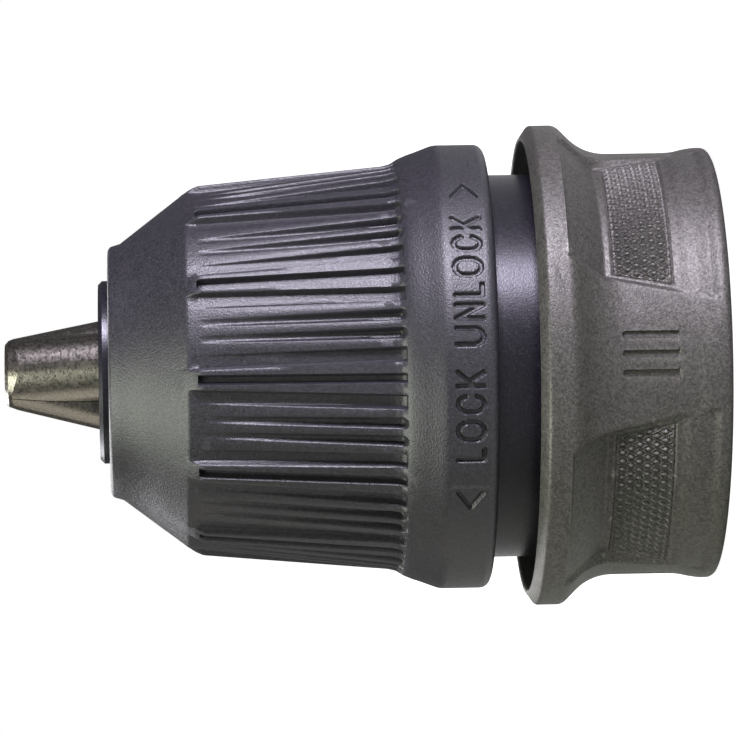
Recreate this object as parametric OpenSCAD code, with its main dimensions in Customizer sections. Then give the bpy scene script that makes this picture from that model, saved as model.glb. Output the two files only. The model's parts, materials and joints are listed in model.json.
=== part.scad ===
// Keyless drill chuck with a quick-change coupling at its rear.
// The chuck stands on its rear rim: +Z is the chuck axis, towards the jaws,
// and the origin is the centre of the rear face. The jaws are closed.

/* [Lengths along the axis] */
// Length of the locking collar
collar_len = 18.95; // [18.5:0.05:26]
// Open gap between the collar and the turning sleeve
collar_gap = 3.9; // [3.6:0.1:6]
// Length of the turning sleeve
sleeve_len = 38.05; // [38:0.05:50]
// How far the nose ring stands out of the sleeve
nose_proud = 1; // [0.5:0.1:2]
// How far the closed jaws reach past the sleeve
jaw_proud = 10.5; // [9:0.1:14]
// Length of the sleeve's smooth front cone
cone_len = 7.8; // [6:0.1:9]

/* [Diameters] */
// Outer diameter of the fixed skirt
skirt_d = 38.8; // [38:0.1:48]
// Step from the skirt out to the sleeve's rear rim
rim_step = 3.1; // [2.8:0.1:4]
// Step from the skirt out to the collar's flange
flange_step = 4.95; // [4:0.05:6]
// Step from the skirt out to the collar's waist
waist_step = 2; // [1.8:0.05:2.6]
// Diameter of the sleeve's front edge
mouth_edge_d = 24.4; // [22:0.1:27]
// Outer diameter of the nose ring
nose_d = 18.5; // [18:0.1:20]

/* [Jaws] */
// Diameter of a jaw
jaw_d = 6.9; // [5.8:0.1:8.3]
// Angle between a jaw and the chuck axis
jaw_angle = 15; // [14:0.5:16]
// Largest shank that the jaws take
capacity = 10; // [8:0.1:12]
// Pitch of the jaw teeth
tooth_pitch = 1.2; // [0.9:0.1:1.6]
// Depth of the jaw teeth
tooth_depth = 0.7; // [0.4:0.05:0.9]

/* [Sleeve drive] */
// Thickness of the feed nut along the axis
nut_len = 5.1; // [4:0.1:7]
// Radial thickness of the nut's outer band
band_wall = 1; // [0.7:0.1:1.5]
// Diameter of the thrust bearing balls
bearing_ball_d = 2.3; // [1.9:0.1:2.8]
// Number of thrust bearing balls
bearing_balls_n = 24; // [16:1:30]
// Thickness of each thrust race
race_len = 1.15; // [0.8:0.05:1.6]
// Width of each thrust race
race_w = 2.7; // [2.4:0.1:3.2]

/* [Quick-change coupling] */
// Travel of the locking collar towards the jaws
collar_travel = 3.2; // [2.6:0.1:3.5]
// Outer diameter of the hub
hub_d = 21.2; // [20:0.1:23]
// Diameter of the spindle socket
socket_d = 14; // [13:0.1:14.4]
// Diameter of the deeper pilot bore of the socket
pilot_d = 12; // [10:0.1:12.2]
// Length of the pilot bore
pilot_len = 5; // [4:0.1:6]
// Diameter of a locking ball
lock_ball_d = 5; // [4.1:0.1:6]
// How far a locked ball stands into the socket
lock_depth = 0.85; // [0.5:0.05:0.95]
// Radial ball movement for each millimetre of collar travel
cone_ratio = 0.3; // [0.28:0.01:0.34]
// Width of each drive slot in the hub's mouth
slot_w = 3.2; // [2:0.1:4]
// Wire diameter of the collar spring
spring_wire_d = 0.9; // [0.7:0.05:1]

/* [Fits] */
// Running clearance on a radius
run_gap = 0.06; // [0.02:0.01:0.1]
// Face-to-face gap between neighbouring pieces
face_gap = 0.05; // [0.02:0.01:0.1]
// Wall of the skirt
skirt_wall = 1.6; // [1.2:0.1:2]

/* [Hidden] */
$fn = 96;
// How far pieces of one solid run into each other
lap = 0.01;

// Axial places, from the rear rim to the jaw tips
sleeve_z0 = collar_len + collar_gap;
sleeve_z1 = sleeve_z0 + sleeve_len;
nose_z = sleeve_z1 + nose_proud;
tip_z = sleeve_z1 + jaw_proud;

// Radii outside
skirt_r = skirt_d / 2;
rim_r = skirt_r + rim_step;
flange_r = skirt_r + flange_step;
waist_r = skirt_r + waist_step;
flare_r = waist_r + 0.46;
grip_rear_r = rim_r - 2.06;
grip_front_r = rim_r - 3.78;
shoulder_len = 10.2;
nose_r = nose_d / 2;
mouth_r = nose_r + 0.2;

// Jaws: inclined rods whose axes meet the chuck axis just behind the tips
jaw_r = jaw_d / 2;
jaw_bore_r = jaw_r + run_gap;
tip_offset = 0.75;
apex_z = tip_z - tip_offset;
jaw_radial = capacity / 2;
jaw_travel = jaw_radial / sin(jaw_angle);
jaw_drop = jaw_radial / tan(jaw_angle);
function jaw_axis_r(z) = (apex_z - z) * tan(jaw_angle);
function jaw_out_r(z) = jaw_axis_r(z) + jaw_bore_r / cos(jaw_angle);
jaw_gap = 0.06;

// Feed nut and thrust bearing, set back from the nose
nut_z1 = sleeve_z1 - 21.3;
nut_z0 = nut_z1 - nut_len;
race_front_z0 = nut_z0 - face_gap - race_len;
ball_z = race_front_z0 - bearing_ball_d / 2 - face_gap / 2;
race_rear_z0 = ball_z - bearing_ball_d / 2 - face_gap / 2 - race_len;
shoulder_z = race_rear_z0 - face_gap / 2;
race_in_r = jaw_out_r(shoulder_z) + 0.2;
race_out_r = race_in_r + race_w;
bearing_r = (race_in_r + race_out_r) / 2;
groove_r = jaw_out_r(nut_z1) - 0.7;
band_out_r = race_out_r;
nut_out_r = band_out_r - band_wall - face_gap;
band_len = nut_len * 0.5;
drive_z0 = nut_z1 + face_gap;
drive_len = 2.1;
drive_z1 = drive_z0 + drive_len;
lug_w = 4;
lug_len = 2;
drive_out_r = band_out_r + 0.3;
core_front_r = race_in_r - 0.3;
rib_len = 4.7;
rib_z1 = drive_z1 + rib_len;
snap_len = 1;
jaw_end_z = nut_z0 - 0.3;
open_end_z = jaw_end_z - jaw_drop - jaw_r * sin(jaw_angle);

// Body, disc, skirt and hub
body_r = skirt_r - skirt_wall - face_gap;
body_z0 = open_end_z - 0.4;
disc_len = 2;
disc_z0 = body_z0 - disc_len;
skirt_z0 = disc_z0 + 0.2;
click_len = 1.4;
click_z0 = shoulder_z - click_len - 0.3;
skirt_z1 = click_z0 - 0.7;
drill_bore_r = capacity / 2 + 0.3;
hub_r = hub_d / 2;
socket_r = socket_d / 2;
pilot_r = pilot_d / 2;
hub_z0 = 1.2;
slot_len = 2.8;
lock_ball_r = lock_ball_d / 2;
lock_ball_n = 4;
ball_hole_r = lock_ball_r + face_gap;
lock_z = hub_z0 + slot_len + 1.05 + ball_hole_r;
pilot_z0 = lock_z + ball_hole_r + 0.35;
pilot_z1 = pilot_z0 + pilot_len;
stub_wall = 3;
stub_r = pilot_r + stub_wall;
stub_z1 = pilot_z1 + stub_wall;
web_len = 3.5;
bore_floor_z = stub_z1 + web_len;
screw_r = 2.85;
screw_head_r = drill_bore_r - 0.7;
screw_head_len = 3.15;

// Locking balls, lock ring and spring
lock_r = socket_r - lock_depth + lock_ball_r;
lock_slope = atan(cone_ratio);
cone_c = lock_r + cone_ratio * lock_z + (lock_ball_r + run_gap) / cos(lock_slope);
function lock_cone_r(z) = cone_c - cone_ratio * z;
clip_len = 1.1;
clip_z0 = 2.4;
web_z1 = clip_z0 + clip_len + 0.1;
ring_z0 = web_z1 + face_gap;
ring_z1 = disc_z0 - collar_travel - 0.2;
ring_in_r = lock_cone_r(ring_z0);
ring_wall = 1.5;
ring_out_r = ring_in_r + ring_wall;
clip_r = ring_in_r + 0.8;
collar_hole_r = clip_r + 0.25;
chamber_r = body_r + 0.1;
flange_len = 1.05;
spring_r = (ring_out_r + chamber_r) / 2;
seat_len = 0.8;
seat_z0 = disc_z0 - face_gap - seat_len;
spring_z0 = ring_z0 + flange_len;
spring_turns = 3;
guide_z0 = ring_z1;
guide_r = skirt_r + run_gap;
cup_r = flange_r - 1.65;
cup_len = 2.75;
seal_z0 = collar_len - cup_len - 1.9;
seal_len = 1.2;
seal_r = guide_r + 1.1;

// Patterns
jaw_turn = -90;
pad_turn = -10.8;
pad_n = 4;
pad_span = 51;
grip_turn = 13.8;
grip_n = 12;

// Points of an arc about c, from angle a0 to angle a1
function arc(c, r, a0, a1, n = 6) =
    [for (i = [0:n]) c + r * [cos(a0 + (a1 - a0) * i / n), sin(a0 + (a1 - a0) * i / n)]];

// A plain ring between two radii
module ring(r_in, r_out, z0, len) {
    translate([0, 0, z0])
        difference() {
            cylinder(r = r_out, h = len);
            translate([0, 0, -1]) cylinder(r = r_in, h = len + 2);
        }
}

// A ring with a gap, such as a circlip
module split_ring(r_in, r_out, z0, len, gap) {
    difference() {
        ring(r_in, r_out, z0, len);
        translate([0, -gap / 2, z0 - 1]) cube([r_out + 1, gap, len + 2]);
    }
}

// A solid of revolution from points given as [radius, height]
module turned(points) {
    rotate_extrude() polygon(points);
}

// Copies its children about the chuck axis
module around(n, start = 0) {
    for (i = [0:n - 1]) rotate([0, 0, start + 360 * i / n]) children();
}

// Places its children along a jaw axis, seen from the radial plane of that jaw:
// the jaw runs along -z here and the outer side of the jaw is +x
module along_jaw() {
    translate([0, 0, apex_z]) rotate([0, -jaw_angle, 0]) children();
}

module jaw_bores() {
    around(3, jaw_turn) along_jaw() translate([0, 0, -90]) cylinder(r = jaw_bore_r, h = 100);
}

module chuck_body() {
    nose_in_r = nose_r - 1.35;
    color("dimgray")
        difference() {
            turned([
                [0, body_z0], [body_r - 0.5, body_z0], [body_r, body_z0 + 0.5],
                [body_r, shoulder_z], [race_in_r - 0.1, shoulder_z], [race_in_r - 0.1, nut_z0 - 0.1],
                [groove_r, nut_z0 - 0.1], [groove_r, drive_z0], [core_front_r, drive_z0],
                [core_front_r, rib_z1 + face_gap], [core_front_r - 1.2, rib_z1 + face_gap],
                [core_front_r - 1.2, rib_z1 + face_gap + snap_len + 0.1],
                [core_front_r - 0.4, rib_z1 + face_gap + snap_len + 0.1],
                [core_front_r - 0.4, sleeve_z1 - 9.9], [nose_in_r + 1, sleeve_z1 - 2.4],
                [nose_in_r, sleeve_z1 - 2.4], [nose_in_r, nose_z - 0.8],
                [nose_in_r - 0.4, nose_z - 0.4], [0, nose_z - 0.4]
            ]);
            translate([0, 0, bore_floor_z]) cylinder(r = drill_bore_r, h = nose_z);
            translate([0, 0, body_z0 - 1]) cylinder(r = stub_r, h = stub_z1 - body_z0 + 1);
            translate([0, 0, body_z0 - 1]) cylinder(r = screw_r + 0.25, h = bore_floor_z - body_z0 + 2);
            jaw_bores();
        }
}

module nose_ring() {
    r_in = nose_r - 1.35;
    z0 = sleeve_z1 - 1;
    color("black")
        turned([
            [r_in, z0], [nose_r, z0], [nose_r, nose_z - 0.4], [nose_r - 0.4, nose_z],
            [r_in + 0.3, nose_z], [r_in, nose_z - 0.3]
        ]);
}

// One jaw in its own radial plane, closed: a rod cut to a 120 degree wedge where it
// meets the others, with rack teeth on its outer side and a flat gripping edge
module jaw_shape() {
    reach = 30;
    edge = 0.35;
    tooth_z1 = -(tip_offset + jaw_proud + 1.5) / cos(jaw_angle);
    rear_z = -(apex_z - jaw_end_z) / cos(jaw_angle);
    teeth = floor((tooth_z1 - rear_z) / tooth_pitch);
    difference() {
        intersection() {
            along_jaw()
                translate([0, 0, rear_z]) cylinder(r = jaw_r, h = 10 - rear_z);
            translate([0, 0, jaw_end_z - 5])
                linear_extrude(tip_z - jaw_end_z + 5)
                    polygon([
                        [jaw_gap + edge, -edge * tan(60)], [reach, -(reach - jaw_gap) * tan(60)],
                        [reach, (reach - jaw_gap) * tan(60)], [jaw_gap + edge, edge * tan(60)]
                    ]);
            // rounds the outer edge of the tip
            turned([
                [0, jaw_end_z - 5], [reach, jaw_end_z - 5], [reach, tip_z - 6],
                [jaw_r + 2, tip_z - 6], [jaw_r - 0.1, tip_z - 0.35], [jaw_r - 0.5, tip_z], [0, tip_z]
            ]);
            // keeps the rear end inside the body when the jaw is open
            translate([-jaw_radial, 0, jaw_end_z - 5])
                cylinder(r = body_r - 0.15, h = tip_z - jaw_end_z + 5);
        }
        along_jaw()
            for (i = [0:teeth - 1])
                translate([jaw_r, 0, rear_z + (i + 0.35) * tooth_pitch])
                    rotate([90, 0, 0])
                        linear_extrude(jaw_d + 2, center = true)
                            polygon([
                                [-tooth_depth, 0.1 * tooth_pitch], [-tooth_depth, 0.35 * tooth_pitch],
                                [1, 0.75 * tooth_pitch], [1, -0.3 * tooth_pitch]
                            ]);
    }
}

module jaw(i) {
    color("silver") rotate([0, 0, jaw_turn + 120 * i]) jaw_shape();
}

// Half of the feed nut: its inner cone runs over the tips of the jaw teeth
module nut_half(side) {
    color("gray")
        difference() {
            turned([
                [jaw_out_r(nut_z0) + run_gap, nut_z0], [nut_out_r, nut_z0],
                [nut_out_r, nut_z1], [jaw_out_r(nut_z1) + run_gap, nut_z1]
            ]);
            translate([side * 50 - face_gap * side, 0, 0]) cube([100, 100, 400], center = true);
            for (s = [-1, 1])
                translate([s * nut_out_r, 0, nut_z1])
                    cube([2.8, lug_w + 0.1, 2 * (lug_len + face_gap)], center = true);
        }
}

module nut_band() {
    color("darkgray") ring(nut_out_r + face_gap / 2, band_out_r, nut_z0 + 0.4, band_len);
}

// Pressed into the sleeve; its two lugs turn the nut
module drive_ring() {
    color("gray") {
        ring(core_front_r + 0.3, drive_out_r, drive_z0, drive_len);
        for (s = [-1, 1])
            translate([s * (nut_out_r - 0.6), 0, drive_z0 - lug_len / 2 + lap])
                cube([1.2, lug_w, lug_len], center = true);
    }
}

// Outline of the sleeve: rear rim, shoulder, tapered grip, front cone and mouth
function sleeve_outline() = concat(
    [[skirt_r + 0.25, sleeve_z0]],
    arc([rim_r - 0.9, sleeve_z0 + 0.9], 0.9, -90, 0, 5),
    [
        [rim_r, sleeve_z0 + 4.7], [rim_r - 0.3, sleeve_z0 + 5.8],
        [grip_rear_r + 0.2, sleeve_z0 + 9.4], [grip_rear_r, sleeve_z0 + shoulder_len],
        [grip_front_r, sleeve_z1 - cone_len - 1.3], [grip_front_r - 0.9, sleeve_z1 - cone_len],
        [mouth_edge_d / 2 + 0.6, sleeve_z1 - 1]
    ],
    arc([mouth_edge_d / 2 - 0.6, sleeve_z1 - 0.9], 0.9, 50, 90, 4),
    [
        [mouth_r, sleeve_z1], [mouth_r, sleeve_z1 - 1.1],
        [mouth_r + 1, sleeve_z1 - 1.1], [grip_front_r - 2.5, sleeve_z1 - cone_len - 1.1],
        [grip_front_r - 2.5, rib_z1], [core_front_r + 0.15, rib_z1], [core_front_r + 0.15, drive_z1],
        [drive_out_r, drive_z1], [drive_out_r, nut_z0], [body_r + 1, nut_z0 - 0.6],
        [body_r + 1, skirt_z1 + 0.2], [skirt_r + 0.25, skirt_z1 + 0.2]
    ]
);

// A tapered groove on the grip, its two edges given at its rear end and at its front end
module grip_groove(rear, front, z0, z1, depth) {
    slope = atan((grip_rear_r - grip_front_r) / (sleeve_z1 - cone_len - 1.3 - sleeve_z0 - shoulder_len));
    r_at = grip_rear_r - (z0 - sleeve_z0 - shoulder_len) * tan(slope);
    translate([r_at - depth, 0, z0])
        rotate([0, -slope, 0])
            rotate([90, 0, 90])
                linear_extrude(6)
                    polygon([[rear[0], 0], [rear[1], 0], [front[1], z1 - z0], [front[0], z1 - z0]]);
}

module front_sleeve() {
    grip_z0 = sleeve_z0 + shoulder_len - 0.5;
    grip_z1 = sleeve_z1 - cone_len;
    color("slategray")
        difference() {
            turned(sleeve_outline());
            around(grip_n, grip_turn) {
                grip_groove([-0.43, 0.43], [-0.42, 0.42], grip_z0, grip_z1 - 1, 0.5);
                for (m = [0, 1])
                    mirror([0, m, 0]) {
                        grip_groove([1.64, 3], [1, 2.36], grip_z0, grip_z1 - 2.6, 0.4);
                        rotate([0, 0, 12.45])
                            grip_groove([-0.5, 0.5], [-0.35, 0.35], grip_z0, grip_z1 - 2.8, 0.4);
                    }
            }
            around(grip_n)
                translate([body_r + 1, 0, click_z0]) cylinder(r = 0.6, h = click_len, $fn = 24);
        }
}

module thrust_race_rear() {
    color("lightsteelblue") ring(race_in_r, race_out_r, race_rear_z0, race_len);
}

module thrust_race_front() {
    color("lightsteelblue") ring(race_in_r, race_out_r, race_front_z0, race_len);
}

module ball_cage() {
    h = bearing_ball_d * 0.5;
    color("peru")
        difference() {
            ring(race_in_r + 0.1, race_out_r - 0.1, ball_z - h / 2, h);
            around(bearing_balls_n)
                translate([bearing_r, 0, ball_z - h])
                    cylinder(r = bearing_ball_d / 2 + 0.04, h = 2 * h, $fn = 24);
        }
}

module bearing_balls() {
    color("white")
        around(bearing_balls_n)
            translate([bearing_r, 0, ball_z]) sphere(r = bearing_ball_d / 2, $fn = 24);
}

// Split spring ring on the body whose two bumps click over the notches in the sleeve
module click_spring() {
    in_r = body_r + face_gap / 2;
    color("goldenrod") {
        split_ring(in_r, body_r + 0.6, click_z0, click_len, 3);
        difference() {
            for (a = [90, 270])
                rotate([0, 0, a])
                    translate([body_r + 0.35, 0, click_z0]) cylinder(r = 0.5, h = click_len, $fn = 24);
            translate([0, 0, click_z0 - 1]) cylinder(r = in_r, h = click_len + 2);
        }
    }
}

module sleeve_snap_ring() {
    color("darkslategray")
        split_ring(core_front_r - 1.15, core_front_r + 1.1, rib_z1 + face_gap * 2, snap_len, 4);
}

// Closes the jaw chamber at the rear of the body
module body_disc() {
    color("gray")
        ring(stub_r + face_gap, body_r, disc_z0, disc_len);
}

module rear_skirt() {
    color("darkslateblue")
        turned([
            [body_r + face_gap, skirt_z0], [skirt_r - 0.4, skirt_z0], [skirt_r, skirt_z0 + 0.4],
            [skirt_r, skirt_z1 - 0.3], [skirt_r - 0.3, skirt_z1], [body_r + face_gap, skirt_z1]
        ]);
}

// Takes the drill spindle: dog slots at the mouth, four ball holes, then the pilot bore
module coupling_hub() {
    color("gray")
        difference() {
            turned([
                [pilot_r, pilot_z0], [socket_r, pilot_z0], [socket_r, hub_z0 + 0.5],
                [socket_r + 0.5, hub_z0], [hub_r - 0.4, hub_z0], [hub_r, hub_z0 + 0.4],
                [hub_r, clip_z0 - face_gap], [hub_r - 0.7, clip_z0 - face_gap],
                [hub_r - 0.7, clip_z0 + clip_len + face_gap], [hub_r, clip_z0 + clip_len + face_gap],
                [hub_r, disc_z0 - face_gap], [stub_r - face_gap / 2, disc_z0 - face_gap],
                [stub_r - face_gap / 2, stub_z1 - face_gap], [screw_r + 0.05, stub_z1 - face_gap],
                [screw_r + 0.05, pilot_z1], [pilot_r, pilot_z1]
            ]);
            around(lock_ball_n, 45)
                translate([0, 0, lock_z]) rotate([0, 90, 0]) cylinder(r = ball_hole_r, h = hub_r + 5);
            around(lock_ball_n)
                translate([0, -slot_w / 2, hub_z0 - 1]) cube([hub_r + 5, slot_w, slot_len + 1]);
        }
}

// Left-hand screw that locks the hub to the body, reached between the open jaws
module retaining_screw() {
    z_head = bore_floor_z + face_gap;
    color("black")
        difference() {
            union() {
                translate([0, 0, z_head]) cylinder(r = screw_head_r, h = screw_head_len);
                translate([0, 0, pilot_z1 + 0.1]) cylinder(r = screw_r, h = z_head - pilot_z1);
            }
            translate([0, 0, z_head + 1]) cylinder(r = 2.4, h = screw_head_len, $fn = 6);
        }
}

module lock_ball(i) {
    color("white")
        rotate([0, 0, 45 + 360 * i / lock_ball_n])
            translate([lock_r, 0, lock_z]) sphere(r = lock_ball_r, $fn = 48);
}

// Its cone opens towards the rear and lets the balls out as the collar slides forward
module lock_ring() {
    color("silver")
        turned([
            [lock_cone_r(ring_z0), ring_z0], [chamber_r - face_gap, ring_z0],
            [chamber_r - face_gap, ring_z0 + flange_len], [ring_out_r, ring_z0 + flange_len],
            [ring_out_r, ring_z1], [lock_cone_r(ring_z1), ring_z1]
        ]);
}

// Round wire swept along a helix
module collar_spring() {
    steps = 20;
    sides = 8;
    n = spring_turns * steps;
    z0 = spring_z0 + spring_wire_d / 2 + face_gap;
    rise = seat_z0 - face_gap - spring_wire_d / 2 - z0;
    points = [
        for (i = [0:n]) for (j = [0:sides - 1])
            let (t = 360 * i / steps, a = 360 * j / sides, r = spring_r + spring_wire_d / 2 * cos(a))
                [r * cos(t), r * sin(t), z0 + rise * i / n + spring_wire_d / 2 * sin(a)]
    ];
    skin = [
        for (i = [0:n - 1]) for (j = [0:sides - 1])
            let (k = (j + 1) % sides)
                [i * sides + j, (i + 1) * sides + j, (i + 1) * sides + k, i * sides + k]
    ];
    caps = [[for (j = [0:sides - 1]) j], [for (j = [sides - 1:-1:0]) n * sides + j]];
    color("gainsboro") polyhedron(points, concat(skin, caps), convexity = 8);
}

module spring_seat() {
    color("darkgray") ring(ring_out_r + 0.3, chamber_r - 0.15, seat_z0, seat_len);
}

module collar_snap_ring() {
    color("darkslategray") split_ring(hub_r - 0.65, clip_r, clip_z0, clip_len, 3.4);
}

// Felt wiper in the collar that runs on the skirt
module dust_seal() {
    color("dimgray") ring(skirt_r + run_gap / 2, seal_r - face_gap, seal_z0 + face_gap, seal_len - 2 * face_gap);
}

// Outline of the collar: rear flare, waist, concave rise, flange and front cup
function collar_outline() = let (rise_r = 5.5, corner_r = 1.2, rise_z = flange_z() - 5.72) concat(
    [[collar_hole_r, 0.3], [collar_hole_r + 0.3, 0]],
    arc([flare_r - 0.7, 0.7], 0.7, -90, 0, 5),
    [[flare_r, 1.3], [waist_r + 0.15, 3], [waist_r, 3.9]],
    arc([waist_r + rise_r, rise_z], rise_r, 180, 135, 7),
    arc([flange_r - corner_r, flange_z()], corner_r, -45, 0, 5),
    arc([flange_r - 0.5, collar_len - 1.1], 0.5, 0, 60, 4),
    [
        [cup_r + 0.3, collar_len], [cup_r, collar_len - 0.3], [cup_r, collar_len - cup_len + 0.4],
        [cup_r - 0.4, collar_len - cup_len], [guide_r, collar_len - cup_len],
        [guide_r, seal_z0 + seal_len], [seal_r, seal_z0 + seal_len], [seal_r, seal_z0],
        [guide_r, seal_z0], [guide_r, guide_z0], [chamber_r, guide_z0], [chamber_r, web_z1],
        [collar_hole_r, web_z1]
    ]
);
function flange_z() = collar_len - 2.93;

module locking_collar() {
    pocket_z1 = collar_len - 6.75;
    pocket_depth = 0.85;
    color("darkslategray")
        difference() {
            turned(collar_outline());
            around(pad_n, pad_turn + 45 - pad_span / 2)
                rotate_extrude(angle = pad_span)
                    polygon([
                        [waist_r, 3.95], [waist_r - pocket_depth, pocket_z1],
                        [waist_r + 2.3, pocket_z1 + 3.5], [waist_r + 4, pocket_z1 + 3.5], [waist_r + 4, 3.95]
                    ]);
        }
}

chuck_body();
nose_ring();
jaw(0);  // jaw_1
jaw(1);  // jaw_2
jaw(2);  // jaw_3
nut_half(1);  // nut_half_a
nut_half(-1);  // nut_half_b
nut_band();
drive_ring();
front_sleeve();
thrust_race_rear();
thrust_race_front();
ball_cage();
bearing_balls();
click_spring();
sleeve_snap_ring();
body_disc();
rear_skirt();
coupling_hub();
retaining_screw();
lock_ball(0);  // lock_ball_1
lock_ball(1);  // lock_ball_2
lock_ball(2);  // lock_ball_3
lock_ball(3);  // lock_ball_4
lock_ring();
collar_spring();
spring_seat();
collar_snap_ring();
dust_seal();
locking_collar();
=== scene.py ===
# A keyless drill chuck standing on its rear rim, jaws up: a ribbed turning sleeve above
# a knurled locking collar, with the steel body, bearing and coupling inside.
import json
import math
import bpy
import numpy as np
from mathutils import Matrix, Vector


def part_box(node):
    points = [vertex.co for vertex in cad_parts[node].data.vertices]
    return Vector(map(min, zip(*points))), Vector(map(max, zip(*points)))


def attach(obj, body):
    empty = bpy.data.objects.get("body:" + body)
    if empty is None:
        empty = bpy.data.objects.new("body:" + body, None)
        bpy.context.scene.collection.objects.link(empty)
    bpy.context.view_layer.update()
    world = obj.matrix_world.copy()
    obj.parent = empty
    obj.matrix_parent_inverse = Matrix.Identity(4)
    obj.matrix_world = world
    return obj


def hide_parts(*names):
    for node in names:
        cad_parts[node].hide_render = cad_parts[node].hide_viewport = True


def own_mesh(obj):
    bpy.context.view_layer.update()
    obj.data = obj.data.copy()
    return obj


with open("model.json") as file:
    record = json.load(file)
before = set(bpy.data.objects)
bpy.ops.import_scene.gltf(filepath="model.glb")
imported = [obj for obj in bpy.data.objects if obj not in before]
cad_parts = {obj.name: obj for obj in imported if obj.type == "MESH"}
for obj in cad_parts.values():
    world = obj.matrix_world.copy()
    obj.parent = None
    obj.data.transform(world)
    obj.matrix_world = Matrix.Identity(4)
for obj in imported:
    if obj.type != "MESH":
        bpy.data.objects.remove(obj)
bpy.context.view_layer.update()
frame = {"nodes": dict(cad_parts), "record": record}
print("frame loaded:", len(frame["nodes"]), "nodes")

mm = 0.001


def sizeOf(node):
    low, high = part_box(node)
    return {"z0": low.z / mm, "z1": high.z / mm, "r": max(high.x, -low.x, high.y, -low.y) / mm}


sleeveBox = sizeOf("front_sleeve")
collarBox = sizeOf("locking_collar")
skirtBox = sizeOf("rear_skirt")
noseBox = sizeOf("nose_ring")
driveBox = sizeOf("drive_ring")
nutBox = sizeOf("nut_half_a")
discBox = sizeOf("body_disc")
sleeveClipBox = sizeOf("sleeve_snap_ring")
collarClipBox = sizeOf("collar_snap_ring")
lockRingBox = sizeOf("lock_ring")
sealBox = sizeOf("dust_seal")

# Camera, floor and light
viewSettings = {
    "facing": -103.3,      # side of the chuck that looks at the camera, degrees about +Z
    "distance": 473,       # from the chuck's axis, mm
    "height": 56.2,        # mm above the floor
    "aim": 34.66,          # height on the axis that it looks at, mm
    "roll": 0.95,          # degrees
    "lens": 228,
}


def placeCamera(view):
    side = math.radians(view["facing"])
    outward = Vector((math.cos(side), math.sin(side), 0))
    place = outward * view["distance"] * mm + Vector((0, 0, view["height"] * mm))
    forward = (Vector((0, 0, view["aim"] * mm)) - place).normalized()
    up = Vector((-math.sin(side), math.cos(side), 0))  # the chuck lies across the view
    right = forward.cross(up).normalized()
    up = right.cross(forward)
    roll = math.radians(view["roll"])
    camX = right * math.cos(roll) - up * math.sin(roll)
    camY = right * math.sin(roll) + up * math.cos(roll)
    camera = bpy.data.objects.new("viewCamera", bpy.data.cameras.new("viewCamera"))
    bpy.context.scene.collection.objects.link(camera)
    camera.matrix_world = Matrix.Translation(place) @ Matrix(
        (camX, camY, -forward)).transposed().to_4x4()
    camera.data.lens = view["lens"]
    camera.data.clip_start = 0.01
    camera.data.clip_end = 100
    bpy.context.scene.camera = camera


placeCamera(viewSettings)
bpy.context.scene.view_settings.view_transform = "Standard"


def linear(hexColour):
    parts = [int(hexColour[i:i + 2], 16) / 255 for i in (1, 3, 5)]
    return [p / 12.92 if p <= 0.04045 else ((p + 0.055) / 1.055) ** 2.4 for p in parts] + [1]


def addNode(tree, kind, settings=None, links=None):
    node = tree.nodes.new(kind)
    for key, value in (settings or {}).items():
        setattr(node, key, value)
    for key, value in (links or {}).items():
        if isinstance(value, bpy.types.NodeSocket):
            tree.links.new(value, node.inputs[key])
        else:
            node.inputs[key].default_value = value
    return node


def newMaterial(name):
    material = bpy.data.materials.new(name)
    material.use_nodes = True
    material.node_tree.nodes.clear()
    return material, material.node_tree


# Soft boxes: the angle about the chuck is counted from the side that faces the camera
lightSettings = {
    "key": {"angle": 54, "z": 50, "distance": 520, "size": (180, 220), "power": 7.1,
            "colour": "#f1ebff"},
    "tipFill": {"angle": -40, "z": 520, "distance": 280, "size": (440, 380), "power": 4.4,
                "colour": "#ebf1e0"},
    "lowFill": {"angle": -100, "z": 120, "distance": 600, "size": (500, 300), "power": 0.35,
                "colour": "#f6f0e2"},
    "backFill": {"angle": -165, "z": 420, "distance": 460, "size": (420, 320), "power": 3.0,
                 "colour": "#f3f3f6"},
}
roomSettings = {"shown": "#ffffff", "light": "#f2f3f5", "strength": 0.08}


def placeLight(name, light):
    data = bpy.data.lights.new(name, "AREA")
    data.shape = "RECTANGLE"
    data.size, data.size_y = [side * mm for side in light["size"]]
    data.energy = light["power"]
    data.color = linear(light["colour"])[:3]
    lamp = bpy.data.objects.new(name, data)
    bpy.context.scene.collection.objects.link(lamp)
    side = math.radians(viewSettings["facing"] + light["angle"])
    reach = light["distance"] * mm
    lamp.location = (math.cos(side) * reach, math.sin(side) * reach, light["z"] * mm)
    aim = Vector((0, 0, 36 * mm)) - lamp.location
    lamp.rotation_mode = "QUATERNION"
    lamp.rotation_quaternion = aim.to_track_quat("-Z", "Y")


for name, light in lightSettings.items():
    placeLight(name, light)


def makeRoom(room):
    world = bpy.data.worlds.new("room")
    bpy.context.scene.world = world
    world.use_nodes = True
    tree = world.node_tree
    tree.nodes.clear()
    path = addNode(tree, "ShaderNodeLightPath")
    lit = addNode(tree, "ShaderNodeBackground", None,
                  {"Color": linear(room["light"]), "Strength": room["strength"]})
    shown = addNode(tree, "ShaderNodeBackground", None,
                    {"Color": linear(room["shown"]), "Strength": 1})
    mix = addNode(tree, "ShaderNodeMixShader", None,
                  {0: path.outputs["Is Camera Ray"], 1: lit.outputs[0], 2: shown.outputs[0]})
    addNode(tree, "ShaderNodeOutputWorld", None, {"Surface": mix.outputs[0]})


makeRoom(roomSettings)

floorSettings = {"size": 60000, "colour": "#b4b4b4", "glowNear": 0.80, "glowFar": 1.1,
                 "nearTo": 150, "farFrom": 700}


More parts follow.
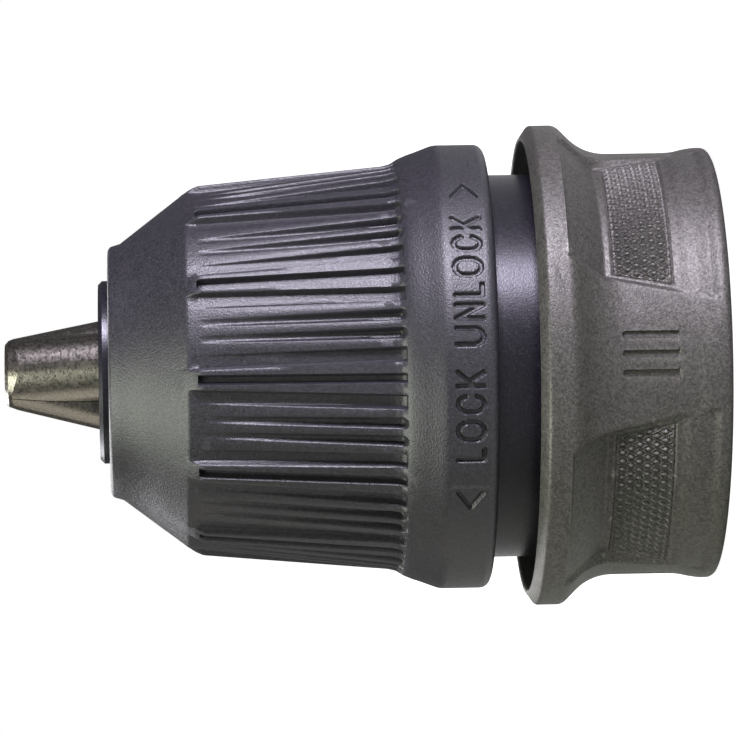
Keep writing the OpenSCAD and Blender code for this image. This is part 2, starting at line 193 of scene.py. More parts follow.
def makeFloor(floor):
    half = floor["size"] / 2 * mm
    mesh = bpy.data.meshes.new("floor")
    mesh.from_pydata([(-half, -half, 0), (half, -half, 0), (half, half, 0), (-half, half, 0)],
                     [], [(0, 1, 2, 3)])
    plane = bpy.data.objects.new("floor", mesh)
    bpy.context.scene.collection.objects.link(plane)
    material, tree = newMaterial("matt white paper")
    grain = addNode(tree, "ShaderNodeTexNoise", None, {"Scale": 900.0, "Detail": 3.0})
    bump = addNode(tree, "ShaderNodeBump", None,
                   {"Height": grain.outputs[0], "Strength": 0.02, "Distance": 0.0001})
    place = addNode(tree, "ShaderNodeTexCoord").outputs["Object"]
    away = addNode(tree, "ShaderNodeVectorMath", {"operation": "LENGTH"}, {0: place})
    glow = addNode(tree, "ShaderNodeMapRange", None, {
        "Value": away.outputs["Value"], "From Min": floor["nearTo"] * mm,
        "From Max": floor["farFrom"] * mm, "To Min": floor["glowNear"],
        "To Max": floor["glowFar"]})
    seen = addNode(tree, "ShaderNodeLightPath")
    glowSeen = addNode(tree, "ShaderNodeMath", {"operation": "MULTIPLY"}, {
        0: glow.outputs[0], 1: seen.outputs["Is Camera Ray"]})  # it doesn't light the chuck
    shader = addNode(tree, "ShaderNodeBsdfPrincipled", None, {
        "Base Color": linear(floor["colour"]), "Roughness": 0.9, "Normal": bump.outputs[0],
        "Emission Color": (1, 1, 1, 1), "Emission Strength": glowSeen.outputs[0]})
    addNode(tree, "ShaderNodeOutputMaterial", None, {"Surface": shader.outputs[0]})
    mesh.materials.append(material)


makeFloor(floorSettings)
print("camera, lights and floor placed")

# A finish is a dictionary; finishMaterial draws them all, because every piece shows the same
# kinds of detail: cloudy colour, fine grain, a few flecks and edges rubbed lighter.

finishes = {
    # Steel sleeve under a matt epoxy powder coat: near black with a violet cast, a fine even
    # grain from the powder, and edges that hands have rubbed a little lighter
    "matt coated steel": {
        "base": "#232127", "tint": "#28272c", "edge": "#5a5960", "edgeShare": 0.35,
        "rough": (0.36, 0.52), "metal": 0.0, "ior": 1.55, "pit": 0.20, "sparkle": 0.45,
        "grain": 0.15, "bump": 0.50,
        "cloud": 9.0, "fleck": "#4b4a50", "fleckShare": 0.10},
    # Die-cast zinc, blasted and plated in dark nickel: grey-brown, half metallic, speckled in
    # small points that are lighter or darker, as blasted pits catch the light
    "dark nickel zinc": {
        "base": "#514f4c", "tint": "#595753", "edge": "#9a978f", "edgeShare": 0.6,
        "rough": (0.44, 0.60), "metal": 0.6, "ior": 1.5, "pit": 0.20, "sparkle": 0.45,
        "grain": 0.15, "bump": 0.45,
        "cloud": 8.0, "fleck": "#77747a", "fleckShare": 0.12},
    # Turned steel with a black oxide finish: smooth, satin, with a violet sheen
    "black oxide steel": {
        "base": "#18171c", "tint": "#1c1a21", "edge": "#4d4b55", "edgeShare": 0.3,
        "rough": (0.27, 0.37), "metal": 0.35, "ior": 1.5, "pit": 0.18, "sparkle": 0.25,
        "grain": 0.25, "bump": 0.10,
        "cloud": 7.0, "fleck": "#55525f", "fleckShare": 0.08},
    # Hardened and ground jaw steel: bright, faintly clouded brown by old oil, with dark specks
    "ground jaw steel": {
        "base": "#9c9892", "tint": "#776f65", "edge": "#d8d4cc", "edgeShare": 0.5,
        "rough": (0.22, 0.36), "metal": 1.0, "ior": 1.5, "pit": 0.20, "sparkle": 0.12,
        "grain": 0.36, "bump": 0.10,
        "cloud": 2.2, "fleck": "#5a4f44", "fleckShare": 0.07},
    # Bearing steel, hardened and polished: bright, with a faint even mottle from use
    "polished bearing steel": {
        "base": "#c4c4c6", "tint": "#b2b2b5", "edge": "#e2e2e2", "edgeShare": 0.3,
        "rough": (0.12, 0.24), "metal": 1.0, "ior": 1.5, "pit": 0.30, "sparkle": 0.05,
        "grain": 0.5, "bump": 0.03,
        "cloud": 4.0, "fleck": "#8d8d92", "fleckShare": 0.05},
    # Blued spring steel: dark straw-blue heat colour, smooth
    "blued spring steel": {
        "base": "#5d6068", "tint": "#6a645c", "edge": "#9a9a9c", "edgeShare": 0.3,
        "rough": (0.25, 0.36), "metal": 1.0, "ior": 1.5, "pit": 0.30, "sparkle": 0.08,
        "grain": 0.4, "bump": 0.05,
        "cloud": 3.0, "fleck": "#3c3e46", "fleckShare": 0.06},
    # Pressed brass strip: warm yellow, slightly dulled by grease
    "pressed brass": {
        "base": "#b39250", "tint": "#9c7c42", "edge": "#d9bd7c", "edgeShare": 0.4,
        "rough": (0.26, 0.40), "metal": 1.0, "ior": 1.5, "pit": 0.30, "sparkle": 0.08,
        "grain": 0.5, "bump": 0.05,
        "cloud": 3.0, "fleck": "#6d562c", "fleckShare": 0.06},
    # Wool felt, pressed: grey, fuzzy and fully matt
    "pressed wool felt": {
        "base": "#6f6a62", "tint": "#5b574f", "edge": "#8b867c", "edgeShare": 0.2,
        "rough": (0.9, 1.0), "metal": 0.0, "ior": 1.45, "pit": 0.25, "sparkle": 0.30,
        "grain": 0.2, "bump": 0.8,
        "cloud": 1.0, "fleck": "#a49d92", "fleckShare": 0.2},
}


def finishMaterial(name, finish):
    material, tree = newMaterial(name)
    spot = addNode(tree, "ShaderNodeTexCoord").outputs["Object"]
    cloud = addNode(tree, "ShaderNodeTexNoise", None, {
        "Vector": spot, "Scale": 1 / (finish["cloud"] * mm), "Detail": 4.0, "Roughness": 0.6})
    grain = addNode(tree, "ShaderNodeTexNoise", None, {
        "Vector": spot, "Scale": 1 / (finish["grain"] * mm), "Detail": 2.5, "Roughness": 0.55})
    pits = addNode(tree, "ShaderNodeTexVoronoi", {"feature": "F1"}, {
        "Vector": spot, "Scale": 1 / (finish["pit"] * mm)})
    pitTone = addNode(tree, "ShaderNodeMapRange", None, {
        "Value": pits.outputs["Color"], "From Min": 0.0, "From Max": 1.0,
        "To Min": 1 - finish["sparkle"], "To Max": 1 + finish["sparkle"]})
    colour = addNode(tree, "ShaderNodeMix", {"data_type": "RGBA"}, {
        0: cloud.outputs[0], 6: linear(finish["base"]), 7: linear(finish["tint"])})
    fleckShare = addNode(tree, "ShaderNodeMapRange", None, {
        "Value": grain.outputs[0], "From Min": 0.56, "From Max": 0.74,
        "To Min": 0.0, "To Max": finish["fleckShare"] * 3})
    flecked = addNode(tree, "ShaderNodeMix", {"data_type": "RGBA"}, {
        0: fleckShare.outputs[0], 6: colour.outputs[2], 7: linear(finish["fleck"])})
    edges = addNode(tree, "ShaderNodeNewGeometry").outputs["Pointiness"]
    rubbed = addNode(tree, "ShaderNodeMapRange", None, {
        "Value": edges, "From Min": 0.52, "From Max": 0.60,
        "To Min": 0.0, "To Max": finish["edgeShare"]})
    patchy = addNode(tree, "ShaderNodeMath", {"operation": "MULTIPLY"}, {
        0: rubbed.outputs[0], 1: cloud.outputs[0]})
    worn = addNode(tree, "ShaderNodeMix", {"data_type": "RGBA"}, {
        0: patchy.outputs[0], 6: flecked.outputs[2], 7: linear(finish["edge"])})
    sparkling = addNode(tree, "ShaderNodeVectorMath", {"operation": "SCALE"}, {
        0: worn.outputs[2], "Scale": pitTone.outputs[0]})
    rough = addNode(tree, "ShaderNodeMapRange", None, {
        "Value": grain.outputs[0], "From Min": 0.3, "From Max": 0.7,
        "To Min": finish["rough"][0], "To Max": finish["rough"][1]})
    height = addNode(tree, "ShaderNodeMath", {"operation": "SUBTRACT"}, {
        0: grain.outputs[0], 1: pits.outputs["Distance"]})
    bump = addNode(tree, "ShaderNodeBump", None, {
        "Height": height.outputs[0], "Strength": finish["bump"],
        "Distance": finish["grain"] * 0.25 * mm})
    shader = addNode(tree, "ShaderNodeBsdfPrincipled", None, {
        "Base Color": sparkling.outputs[0], "Metallic": finish["metal"], "IOR": finish["ior"],
        "Roughness": rough.outputs[0], "Normal": bump.outputs[0]})
    addNode(tree, "ShaderNodeOutputMaterial", None, {"Surface": shader.outputs[0]})
    return material


materials = {name: finishMaterial(name, finish) for name, finish in finishes.items()}

slotFinish = {
    "coated_sleeve": "matt coated steel",
    "dark_collar": "dark nickel zinc",
    "skirt_black": "black oxide steel",
    "black_steel": "black oxide steel",
    "jaw_steel": "ground jaw steel",
    "bright_steel": "polished bearing steel",
    "spring_steel": "blued spring steel",
    "cage_brass": "pressed brass",
    "seal_felt": "pressed wool felt",
}
for part in frame["record"]["subparts"]:
    mesh = frame["nodes"][part["node"]].data
    mesh.materials.clear()
    mesh.materials.append(materials[slotFinish[part["material_slot"]]])
print("finishes made:", len(materials))

# A turned or moulded piece is a stack of rings about the axis. A ring holds its angles in
# degrees and, for each angle, a radius and a height in mm.


def ringOf(angles, radius, z):
    angles = np.asarray(angles, float)
    return angles, np.zeros_like(angles) + radius, np.zeros_like(angles) + z


def stripBetween(startA, startB, anglesA, anglesB):
    countA, countB = len(anglesA), len(anglesB)
    if countA == countB:
        return [(startA + i, startA + (i + 1) % countA, startB + (i + 1) % countB, startB + i)
                for i in range(countA)]
    away = (anglesB - anglesA[0] + 180) % 360 - 180
    first = int(np.argmin(np.abs(away)))  # the two rings may start at different places
    turnA = (anglesA - anglesA[0]) % 360
    turnB = away[first] + (np.roll(anglesB, -first) - anglesB[first]) % 360
    turnA, turnB = np.append(turnA, 360), np.append(turnB, away[first] + 360)
    faces = []
    i = j = 0
    while i < countA or j < countB:
        a, b = startA + i % countA, startB + (j + first) % countB
        if j == countB or (i < countA and turnA[i + 1] <= turnB[j + 1]):
            faces.append((a, startA + (i + 1) % countA, b))
            i += 1
        else:
            faces.append((a, startB + (j + 1 + first) % countB, b))
            j += 1
    return faces


def makeRinged(name, rings, material, smoothTo=50):
    verts, starts, total = [], [], 0
    for angles, radii, heights in rings:
        turn = np.radians(angles)
        verts.append(np.column_stack([radii * np.cos(turn), radii * np.sin(turn), heights]) * mm)
        starts.append(total)
        total += len(angles)
    faces = []
    for k in range(len(rings)):
        n = (k + 1) % len(rings)
        faces += stripBetween(starts[k], starts[n], rings[k][0], rings[n][0])
    mesh = bpy.data.meshes.new(name)
    mesh.from_pydata(np.concatenate(verts).tolist(), [], faces)
    mesh.polygons.foreach_set("use_smooth", [True] * len(mesh.polygons))
    mesh.set_sharp_from_angle(angle=math.radians(smoothTo))
    mesh.materials.append(material)
    piece = bpy.data.objects.new(name, mesh)
    bpy.context.scene.collection.objects.link(piece)
    return piece


def evenAngles(count, start=0.0):
    return start + np.arange(count) * 360 / count


def arcPoints(centreR, centreZ, radius, fromDeg, toDeg, steps):
    turn = np.radians(np.linspace(fromDeg, toDeg, steps + 1))
    return [(centreR + radius * math.cos(t), centreZ + radius * math.sin(t)) for t in turn]


def smoothStep(value, low, high):
    share = np.clip((value - low) / (high - low), 0, 1)
    return share * share * (3 - 2 * share)


# Turning sleeve
sleeveLook = {
    "rimR": sleeveBox["r"],                  # lettered rim
    "rimTop": sleeveBox["z0"] + 4.7,         # the rim's front edge
    "gripZ": sleeveBox["z0"] + 10.15,        # where the shoulder runs out into the grip
    "gripR": sleeveBox["r"] - 2.06,
    "gripSlope": 0.1239,                     # fall of the grip's skin, mm per mm
    "barSlope": 0.092,                       # the bars fall more slowly, so they stand out
    "coneZ": sleeveBox["z1"] - 7.6,
    "coneR": 17.8,
    "coneSlope": 0.763,                      # fall of the cone, mm per mm
    "frontR": 12.0,
    "gripFrom": 33, "gripTo": 52,            # heights that the edge angles below are given at
    "slitEnd": 52.05,                        # height where the slits stop
    "periods": 12,
    "wideCentre": viewSettings["facing"] - 2.9,
    "wideRear": sleeveBox["z0"] + 8.92,      # square rear end of each wide zone
    "grooveDepth": 0.74,
    "slitDepth": 0.76,
    "slotDepth": 0.92,
    "slotFront": sleeveBox["z0"] + 29.1,     # where the slots have run out
    "slotAt": 12.45,                         # degrees from the middle of the wide zone
}
# Edges of the wide zone and of a slot, in degrees: at the rear end and at the front end
gripEdges = {"slit": (1.2, 1.35), "bar": (4.6, 3.2), "wide": (8.4, 7.5), "slot": (1.43, 1.1)}
# Points down a groove's wall, lip to foot, in degrees
wallOffsets = (0.30, 0.14, 0.0, -0.16, -0.34, -0.56)


def gripShare(z):
    look = sleeveLook
    return np.clip((z - look["gripFrom"]) / (look["gripTo"] - look["gripFrom"]), -0.1, 1.05)


def edgeAngle(name, z):
    rear, front = gripEdges[name]
    return rear + (front - rear) * gripShare(z)


# The shoulder's line: height above the sleeve's rear end, and how far it is inside the rim
shoulderLine = [(4.7, 0), (5.1, 0.06), (5.35, 0.13), (6.15, 0.43), (6.95, 0.74), (7.75, 1.0),
                (8.55, 1.35), (9.35, 1.85), (10.15, 2.06)]


def shoulderR(z):
    return np.interp(z - sleeveBox["z0"], [point[0] for point in shoulderLine],
                     [sleeveLook["rimR"] - point[1] for point in shoulderLine])


def skinR(z):
    look = sleeveLook
    skin = look["gripR"] - look["gripSlope"] * (z - look["gripZ"])
    cone = look["coneR"] - look["coneSlope"] * (z - look["coneZ"])
    return np.where(z < look["gripZ"], shoulderR(z), np.minimum(skin, cone))


def barR(z):
    look = sleeveLook
    bar = look["gripR"] - look["barSlope"] * (z - look["gripZ"])
    nose = np.interp(z, [look["coneZ"] - 1.6, look["coneZ"] - 0.8, look["coneZ"]],
                     [0, 0.29, 0.77])  # the bars' front ends are rounded down to the cone
    return np.maximum(bar - nose, skinR(z))


def gripRadius(a, z):
    look = sleeveLook
    side = np.abs((a + 15) % 30 - 15)
    skin = skinR(z)
    slit, bar, wide, slotHalf = [edgeAngle(n, z) for n in ("slit", "bar", "wide", "slot")]
    lip, foot = wallOffsets[0], -wallOffsets[-1]  # the foot of a wall is rounder than its lip
    floor = skin - look["grooveDepth"] * np.clip(1.06 - gripShare(z), 0, 1)
    inBar = smoothStep(side, bar + foot, bar - lip)
    inSlit = smoothStep(side, slit + lip, slit - foot) * smoothStep(
        z, look["slitEnd"] + 0.07, look["slitEnd"] - 0.07)
    inWide = smoothStep(side, wide + lip, wide - foot)
    bars = barR(z)
    wideLevel = floor * (1 - inBar) + bars * inBar - look["slitDepth"] * inSlit
    behind = smoothStep(z, look["wideRear"] - 0.05, look["wideRear"] + 0.05)
    level = skin + (wideLevel - skin) * inWide * behind
    # slots: rounded at the rear, running out at the front
    offset = (side - look["slotAt"]) * math.pi / 180 * skin
    half = slotHalf * math.pi / 180 * skin
    endZ = look["wideRear"] + 0.45
    beyond = np.maximum(endZ - z, 0)
    inside = half - np.hypot(offset, beyond)
    depth = look["slotDepth"] * np.clip(1 - (z - endZ) / (look["slotFront"] - endZ), 0, 1) ** 0.8
    return level - depth * smoothStep(inside, -0.09, 0.28)


def gripAngles(z):
    slit, bar, wide, slotHalf = [edgeAngle(n, z) for n in ("slit", "bar", "wide", "slot")]
    at = sleeveLook["slotAt"]
    half = [0, slit * 0.25, (bar + slit) / 2, (bar + wide) / 2, at, 15]
    for edge, groove in ((slit, -1), (bar, 1), (wide, -1), (at - slotHalf, 1),
                         (at + slotHalf, -1)):
        half += [edge - groove * offset for offset in wallOffsets]
    half = sorted(half)
    whole = sorted([-v for v in half[1:-1]] + half)
    return np.concatenate([np.array(whole) + 360 / sleeveLook["periods"] * k
                           for k in range(sleeveLook["periods"])])


# Own stroke letters, one unit wide and one unit tall
def bend(x, y, rx, ry, fromDeg, toDeg, steps=8):
    turn = np.radians(np.linspace(fromDeg, toDeg, steps + 1))
    return [(x + rx * math.cos(t), y + ry * math.sin(t)) for t in turn]


glyphs = {
    "U": [[(0, 1)] + bend(0.5, 0.34, 0.5, 0.34, 180, 360) + [(1, 1)]],
    "N": [[(0, 0), (0, 1), (1, 0), (1, 1)]],
    "L": [[(0, 1), (0, 0), (1, 0)]],
    "O": [bend(0.5, 0.62, 0.5, 0.38, 0, 180) + bend(0.5, 0.38, 0.5, 0.38, 180, 360) + [(1, 0.62)]],
    "C": [[(1, 0.72)] + bend(0.5, 0.62, 0.5, 0.38, 15, 180) + bend(0.5, 0.38, 0.5, 0.38, 180, 345)
          + [(1, 0.28)]],
    "K": [[(0, 0), (0, 1)], [(1, 1), (0, 0.36)], [(0.34, 0.58), (1, 0)]],
    ">": [[(0, 0), (1, 0.5), (0, 1)]],
    "<": [[(1, 0), (0, 0.5), (1, 1)]],
}
glyphDegrees = {"U": 4.0, "N": 3.4, "L": 2.8, "O": 4.6, "C": 3.9, "K": 3.5, ">": 4.4, "<": 4.6}
letterLook = {
    "low": sleeveBox["z0"] + 1.52, "high": sleeveBox["z0"] + 4.12,  # middle of the strokes
    "stroke": 0.44, "depth": 0.36, "soft": 0.12,
    "fineFrom": -44, "fineTo": 58, "fineStep": 0.1,  # degrees, degrees and mm: closer points
    "marks": [("<", -38.0, 0), ("LOCK", -24.0, 2.6), ("UNLOCK", 5.5, 2.55), (">", 48.2, 0)],
}


def strokeSegments():
    look = letterLook
    scale = math.pi / 180 * sleeveLook["rimR"]
    segments = []
    for text, start, gap in look["marks"]:
        cursor = start
        for letter in text:
            width = glyphDegrees[letter]
            inset = 0.0 if letter not in "<>" else 0.12
            for line in glyphs[letter]:
                points = [((cursor + width * x) * scale,
                           look["low"] + inset + (look["high"] - look["low"] - 2 * inset) * y)
                          for x, y in line]
                segments += list(zip(points[:-1], points[1:]))
            cursor += width + gap
    return segments


def strokeDepth(s, z):
    nearest = np.full(s.shape, 9.0)
    for (x0, y0), (x1, y1) in strokeSegments():
        dx, dy = x1 - x0, y1 - y0
        near = (s > min(x0, x1) - 0.6) & (s < max(x0, x1) + 0.6)
        t = np.clip(((s[near] - x0) * dx + (z[near] - y0) * dy) / (dx * dx + dy * dy), 0, 1)
        nearest[near] = np.minimum(nearest[near], np.hypot(s[near] - x0 - t * dx,
                                                           z[near] - y0 - t * dy))
    look = letterLook
    edge = look["stroke"] / 2
    return look["depth"] * smoothStep(nearest, edge + look["soft"] / 2, edge - look["soft"] / 2)


def rimRadius(angles, z):
    from0 = (angles - viewSettings["facing"] + 90) % 180 - 90  # the words stand on both sides
    s = from0 * math.pi / 180 * sleeveLook["rimR"]
    return sleeveLook["rimR"] - strokeDepth(s, np.zeros_like(s) + z)


def buildSleeve():
    look, z0, z1 = sleeveLook, sleeveBox["z0"], sleeveBox["z1"]
    plain = evenAngles(288, look["wideCentre"])
    rings = []
    for r, z in arcPoints(look["rimR"] - 0.9, z0 + 0.9, 0.9, -90, 0, 6):
        rings.append(ringOf(plain, r, z))
    fine = letterLook["fineStep"]
    step = fine / look["rimR"] * 180 / math.pi
    lettered = np.concatenate([np.arange(letterLook["fineFrom"], letterLook["fineTo"], step),
                               np.arange(58.8, 135.5, 1.25)])
    lettered = np.sort(np.concatenate([lettered, lettered + 180]) % 360)
    lettered = lettered[np.append(np.diff(lettered) > 0.05, True)] + viewSettings["facing"]
    for z in np.arange(z0 + 1.05, look["rimTop"] - fine, fine):
        rings.append((lettered, rimRadius(lettered, z), np.zeros_like(lettered) + z))
    for z in (look["rimTop"], z0 + 5.08, z0 + 5.14, z0 + 5.35, z0 + 5.8, z0 + 6.4, z0 + 7.1,
              z0 + 7.7, z0 + 8.2):
        rings.append(ringOf(plain, float(shoulderR(z)), z))
    # Heights above the rear end, closest where a groove starts or stops
    rows = [8.4, 8.6, 8.75, 8.83, 8.87, 8.92, 8.97, 9.01, 9.1, 9.2, 9.3, 9.4, 9.55, 9.75, 10.0,
            10.3, 10.8, 11.6, 12.6, 14, 16, 18, 20, 22, 24, 25.4, 26.4, 27.2, 27.8, 28.2, 28.6,
            28.9, 29.1, 29.16, 29.22, 29.27, 29.32, 29.5, 29.75, 30.0, 30.25, 30.5]
    for row in rows:
        z = z0 + row
        angles = gripAngles(z)
        rings.append((angles + look["wideCentre"], gripRadius(angles, z),
                      np.zeros_like(angles) + z))
    outline = [(look["coneR"] - look["coneSlope"] * 0.3, look["coneZ"] + 0.3), (15.2, look["coneZ"] + 3.41),
               (12.98, look["coneZ"] + 6.32)]
    outline += arcPoints(look["frontR"], z1 - 0.9, 0.9, 40, 90, 5)
    noseGap = noseBox["r"] + 0.2
    coreR = sleeveClipBox["r"] - 1.1
    ribZ = sleeveClipBox["z0"] - 0.1
    hollowR = look["coneR"] - 1.9
    outline += [(noseGap + 0.25, z1), (noseGap, z1 - 0.2), (noseGap, z1 - 1.1),
                (noseGap + 1, z1 - 1.1), (hollowR, look["coneZ"] - 1.3), (hollowR, ribZ),
                (coreR + 0.15, ribZ), (coreR + 0.15, driveBox["z1"]),
                (driveBox["r"], driveBox["z1"]), (driveBox["r"], nutBox["z0"]),
                (discBox["r"] + 1, nutBox["z0"] - 0.6), (discBox["r"] + 1, skirtBox["z1"] + 0.2),
                (skirtBox["r"] + 0.25, skirtBox["z1"] + 0.2), (skirtBox["r"] + 0.25, z0 + 0.2),
                (skirtBox["r"] + 0.45, z0)]
    for r, z in outline:
        rings.append(ringOf(plain, r, z))
    sleeve = makeRinged("sleeve_shell", rings, materials["matt coated steel"])
    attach(sleeve, "sleeve")
    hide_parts("front_sleeve")


buildSleeve()
print("sleeve built")

# Locking collar
collarLook = {
    "quarter": viewSettings["facing"] + 2.5,   # middle of the raised land that faces forward
    "landFront": 20.25, "landRear": 15.5,      # half its width in degrees, at the two heights
    "frontZ": 12.2, "rearZ": 4.5,
    "floorRear": 21.14, "floorFront": 20.6,    # radius of the pad floor
    "wallTopZ": 15.75, "wallTopR": 23.98,
    "wallDegrees": 1.9,                        # the slanted side walls of the land
    "knurlZ": (5.75, 11.25), "knurlGap": 1.1,  # knurl field: heights, and degrees inside the wall
    "knurlColumn": 0.83, "knurlPitch": 0.93,   # mm along the axis and around it
    "knurlHigh": 0.30, "knurlSamples": 10,
    "dome": (0.08, 0.40), "ridge": (0.36, 0.5), "ridgeShare": 0.6, "knurlSink": 0.35,
    "frameAt": 0.14, "frameEdge": (0.13, 0.03), "frameDeep": 0.12,  # line round the knurl
    "barsZ": (5.4, 10.4), "barPitch": 1.9, "barWide": 0.70, "barDeep": 0.34,
}


waistR = collarBox["r"] - 2.95


def collarOutline():
    top, wide = collarBox["z1"], collarBox["r"]
    points = arcPoints(waistR - 0.24, 0.7, 0.7, -90, 0, 5)
    points += [(waistR + 0.46, 1.3), (waistR + 0.38, 2.0), (waistR + 0.25, 2.7),
               (waistR + 0.1, 3.3), (waistR + 0.02, 3.9), (waistR, 4.6), (waistR, 9.8)]
    points += arcPoints(waistR + 5.5, top - 8.65, 5.5, 180, 135, 12)
    points += arcPoints(wide - 1.2, top - 2.93, 1.2, -45, 0, 6)
    points += arcPoints(wide - 0.5, top - 1.1, 0.5, 0, 60, 5)
    return points


collarPoints = collarOutline()
collarZs = np.array([p[1] for p in collarPoints])
collarRs = np.array([p[0] for p in collarPoints])


def landHalf(z):
    look = collarLook
    slope = (look["landFront"] - look["landRear"]) / (look["frontZ"] - look["rearZ"])
    return look["landRear"] + slope * (z - look["rearZ"])


def collarRadius(a, z):
    look = collarLook
    side = np.abs((a + 45) % 90 - 45)
    outer = np.interp(z, collarZs, collarRs)
    floor = np.interp(z, [3.6, look["rearZ"] + 0.5, look["frontZ"], look["wallTopZ"],
                          look["wallTopZ"] + 0.2],
                      [waistR + 0.15, look["floorRear"], look["floorFront"], look["wallTopR"],
                       collarBox["r"]])
    floor = np.minimum(floor, outer)
    land = landHalf(z)
    inPad = smoothStep(side, land, land + look["wallDegrees"])
    radius = outer + (floor - outer) * inPad
    # knurl field with a thin frame line round it
    s = side * math.pi / 180 * look["floorRear"]
    edge = (land + look["wallDegrees"] + look["knurlGap"]) * math.pi / 180 * look["floorRear"]
    low, high = look["knurlZ"]
    inset = np.minimum(np.minimum(z - low, high - z), s - edge)
    field = smoothStep(inset, 0.0, 0.16)
    frameLine = smoothStep(np.abs(inset + look["frameAt"]), *look["frameEdge"])
    centreS = 45 * math.pi / 180 * look["floorRear"]
    column = (z - low) / look["knurlColumn"]
    around = (s - centreS) / look["knurlPitch"]
    u, v = column / 2 + around, column / 2 - around
    du, dv = np.abs(u - np.round(u)), np.abs(v - np.round(v))
    dome = 1 - smoothStep(np.hypot(du, dv), *look["dome"])
    ridge = smoothStep(np.maximum(du, dv), *look["ridge"]) * look["ridgeShare"]
    radius = radius + field * look["knurlHigh"] * (np.maximum(dome, ridge) - look["knurlSink"])
    radius = radius - look["frameDeep"] * frameLine
    # three grip lines along the axis, in the middle of the land
    along = ((a + 45) % 90 - 45) * math.pi / 180 * waistR
    nearest = np.abs(along - look["barPitch"] * np.clip(np.round(along / look["barPitch"]), -1, 1))
    b0, b1 = look["barsZ"]
    beyond = np.maximum(np.maximum(b0 - z, z - b1), 0)
    groove = smoothStep(np.hypot(nearest, beyond), look["barWide"] / 2 + 0.06,
                        look["barWide"] / 2 - 0.06)
    return radius - look["barDeep"] * groove


def collarAngles(z, dense):
    look = collarLook
    land = float(landHalf(z))
    foot = land + look["wallDegrees"]
    half = list(np.linspace(land, foot, 7)) + [land - 1.5, land - 0.4, foot + 0.35]
    if dense:
        step = look["knurlPitch"] / look["knurlSamples"] / look["floorRear"] * 180 / math.pi
        fixed = 45 - step * np.arange(1, int(22 / step))
        half += list(fixed) + list(np.linspace(foot + 0.6, fixed[-1] - step, 14))
        bar = look["barPitch"] / waistR * 180 / math.pi
        half += [0.3, 0.62, 0.75, 0.9, 1.05, 2.2, 3.4, bar - 1.05, bar - 0.9, bar - 0.75,
                 bar - 0.62, bar - 0.3, bar, bar + 0.3, bar + 0.62, bar + 0.75, bar + 0.9,
                 bar + 1.05, 8, 11]
    else:
        half += list(np.linspace(foot + 1.2, 44.2, 14)) + list(np.arange(0.6, 12, 1.3))
    half = np.sort(half)
    whole = np.concatenate([-half[::-1], [0], half, [45]])
    return np.concatenate([whole + 90 * k for k in range(4)])


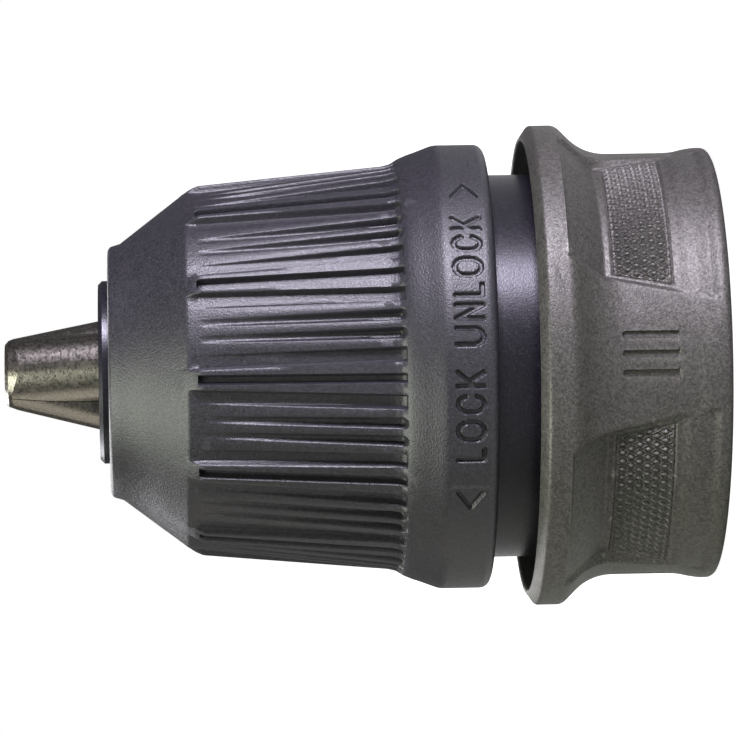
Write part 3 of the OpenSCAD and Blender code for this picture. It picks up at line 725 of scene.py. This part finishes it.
def buildCollar():
    look, top = collarLook, collarBox["z1"]
    rings = []
    turned = evenAngles(240, look["quarter"])
    for r, z in collarPoints[:7]:
        rings.append(ringOf(turned, r, z))
    rows = [1.7, 2.1, 2.5, 2.9, 3.2, 3.5, 3.75, 4.0, 4.3, 4.6, 4.9, 5.1, 5.25]
    fine = look["knurlColumn"] / 8
    dense = list(look["knurlZ"][0] + fine * np.arange(-4, 58))
    front = [11.8, 12.0, 12.15, 12.3, 12.5, 12.8, 13.1, 13.4, 13.7, 14.0, 14.3, 14.6, 14.9, 15.15,
             15.4, 15.6, 15.75, 15.85, 15.95, 16.1]
    for z in rows + dense + front:
        angles = collarAngles(z, z in dense)
        rings.append((angles + look["quarter"], collarRadius(angles, z), np.zeros_like(angles) + z))
    wide = collarBox["r"]
    outline = [(wide, 17.0)] + arcPoints(wide - 0.5, top - 1.1, 0.5, 0, 60, 5)
    cupR = wide - 1.65
    outline += [(cupR + 0.45, top - 0.02), (cupR + 0.25, top), (cupR + 0.1, top - 0.06),
                (cupR, top - 0.3), (cupR, top - 2.35), (cupR - 0.12, top - 2.63),
                (cupR - 0.4, top - 2.75)]
    guideR = skirtBox["r"] + 0.06
    chamberR = lockRingBox["r"] + 0.05
    holeR = collarClipBox["r"] + 0.25
    webZ = collarClipBox["z1"] + 0.1
    outline += [(guideR + 0.2, top - 2.75), (guideR, top - 2.95), (guideR, sealBox["z1"] + 0.05),
                (sealBox["r"] + 0.05, sealBox["z1"] + 0.05),
                (sealBox["r"] + 0.05, sealBox["z0"] - 0.05), (guideR, sealBox["z0"] - 0.05),
                (guideR, lockRingBox["z1"]), (chamberR, lockRingBox["z1"]), (chamberR, webZ),
                (holeR, webZ), (holeR, 0.3), (holeR + 0.3, 0)]
    for r, z in outline:
        rings.append(ringOf(turned, r, z))
    collar = makeRinged("collar_shell", rings, materials["dark nickel zinc"])
    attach(collar, "collar")
    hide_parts("locking_collar")


buildCollar()
print("collar built")

# Collar spring: round wire in a helix, drawn at one length; the real spring shortens as the collar comes
# forward
springLook = {"wire": 0.9, "turns": 3, "stepsPerTurn": 48, "sides": 16, "collarTravel": 3.2}


def buildSpring():
    look, box = springLook, sizeOf("collar_spring")
    wireR = look["wire"] / 2
    coilR = box["r"] - wireR
    count, sides = look["turns"] * look["stepsPerTurn"], look["sides"]
    verts, faces = [], []
    for i in range(count + 1):
        turn = 2 * math.pi * i / look["stepsPerTurn"]
        z = box["z0"] + wireR + (box["z1"] - box["z0"] - look["wire"]) * i / count
        for j in range(sides):
            around = 2 * math.pi * j / sides
            r = coilR + wireR * math.cos(around)
            verts.append((r * math.cos(turn) * mm, r * math.sin(turn) * mm,
                          (z + wireR * math.sin(around)) * mm))
    for i in range(count):
        for j in range(sides):
            a, b = i * sides + j, i * sides + (j + 1) % sides
            faces.append((a, a + sides, b + sides, b))
    faces += [tuple(range(sides)), tuple(count * sides + j for j in reversed(range(sides)))]
    mesh = bpy.data.meshes.new("spring_wire")
    mesh.from_pydata(verts, [], faces)
    mesh.polygons.foreach_set("use_smooth", [True] * len(mesh.polygons))
    mesh.set_sharp_from_angle(angle=math.radians(60))
    mesh.materials.append(materials["blued spring steel"])
    spring = bpy.data.objects.new("spring_wire", mesh)
    bpy.context.scene.collection.objects.link(spring)
    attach(spring, "body")
    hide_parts("collar_spring")
    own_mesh(spring)


buildSpring()
print("collar spring built")
